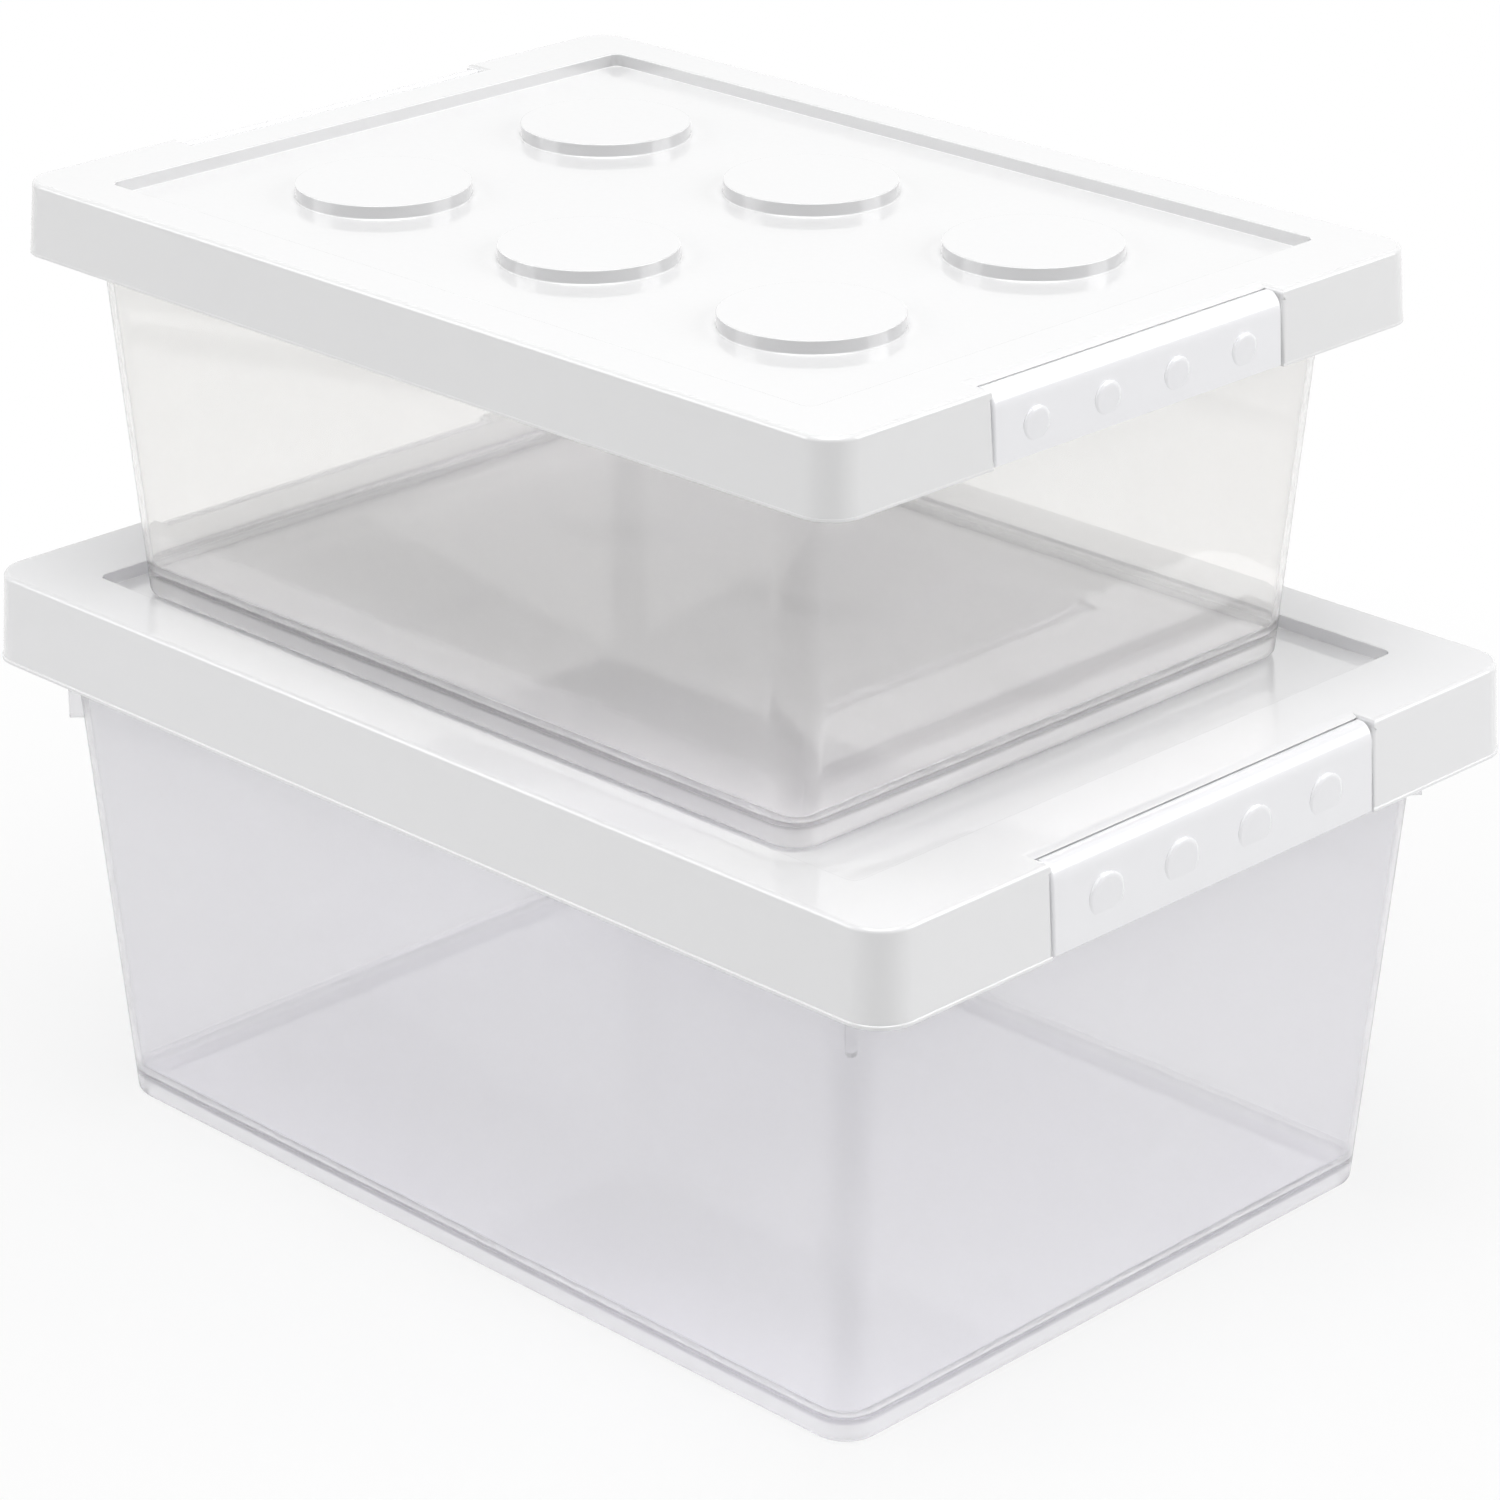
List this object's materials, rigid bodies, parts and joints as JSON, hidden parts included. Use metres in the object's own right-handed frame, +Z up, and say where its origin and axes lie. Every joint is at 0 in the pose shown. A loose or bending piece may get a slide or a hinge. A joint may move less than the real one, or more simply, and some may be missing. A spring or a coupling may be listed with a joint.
{
  "type": "stacking storage boxes",
  "caption": "Clear storage tub with a studded white lid that lifts off and two hinged end latches, with a smaller box of the same design stacked on it.",
  "frame": {"origin": "middle of the large tub's foot, on the surface that it stands on", "axes": "+Z up, +X along the long side towards the right-hand latches, +Y away from the long side that the picture shows"},
  "size_m": [0.4164, 0.2982, 0.3263],
  "materials": {
    "clear_plastic": "clear polypropylene with a faint cool tint, glossy",
    "white_plastic": "white polypropylene, smooth gloss",
    "latch_white_plastic": "slightly cooler white polypropylene, smooth gloss"
  },
  "bodies": {
    "large_tub": {"large_tub": "clear_plastic"},
    "large_lid": {"large_lid": "white_plastic"},
    "large_latch_right": {"large_latch_right": "latch_white_plastic"},
    "large_latch_left": {"large_latch_left": "latch_white_plastic"},
    "small_tub": {"small_tub": "clear_plastic"},
    "small_lid": {"small_lid": "white_plastic"},
    "small_latch_right": {"small_latch_right": "latch_white_plastic"},
    "small_latch_left": {"small_latch_left": "latch_white_plastic"}
  },
  "joints": [
    {"name": "large_lid_lift", "type": "slide", "parent": "large_tub", "child": "large_lid", "axis": [0, 0, 1], "range_m": [0, 0.06]},
    {"name": "large_latch_right_hinge", "type": "hinge", "parent": "large_lid", "child": "large_latch_right", "pos_m": [0.20116, 0, 0.1862], "axis": [0, -1, 0], "range_deg": [0, 105]},
    {"name": "large_latch_left_hinge", "type": "hinge", "parent": "large_lid", "child": "large_latch_left", "pos_m": [-0.20116, 0, 0.1862], "axis": [0, 1, 0], "range_deg": [0, 105]},
    {"name": "small_tub_lift", "type": "slide", "parent": "large_lid", "child": "small_tub", "axis": [0, 0, 1], "range_m": [0, 0.06]},
    {"name": "small_lid_lift", "type": "slide", "parent": "small_tub", "child": "small_lid", "axis": [0, 0, 1], "range_m": [0, 0.06]},
    {"name": "small_latch_right_hinge", "type": "hinge", "parent": "small_lid", "child": "small_latch_right", "pos_m": [0.1694, -0.0045, 0.3223], "axis": [0, -1, 0], "range_deg": [0, 105]},
    {"name": "small_latch_left_hinge", "type": "hinge", "parent": "small_lid", "child": "small_latch_left", "pos_m": [-0.1874, -0.0045, 0.3223], "axis": [0, 1, 0], "range_deg": [0, 105]}
  ]
}
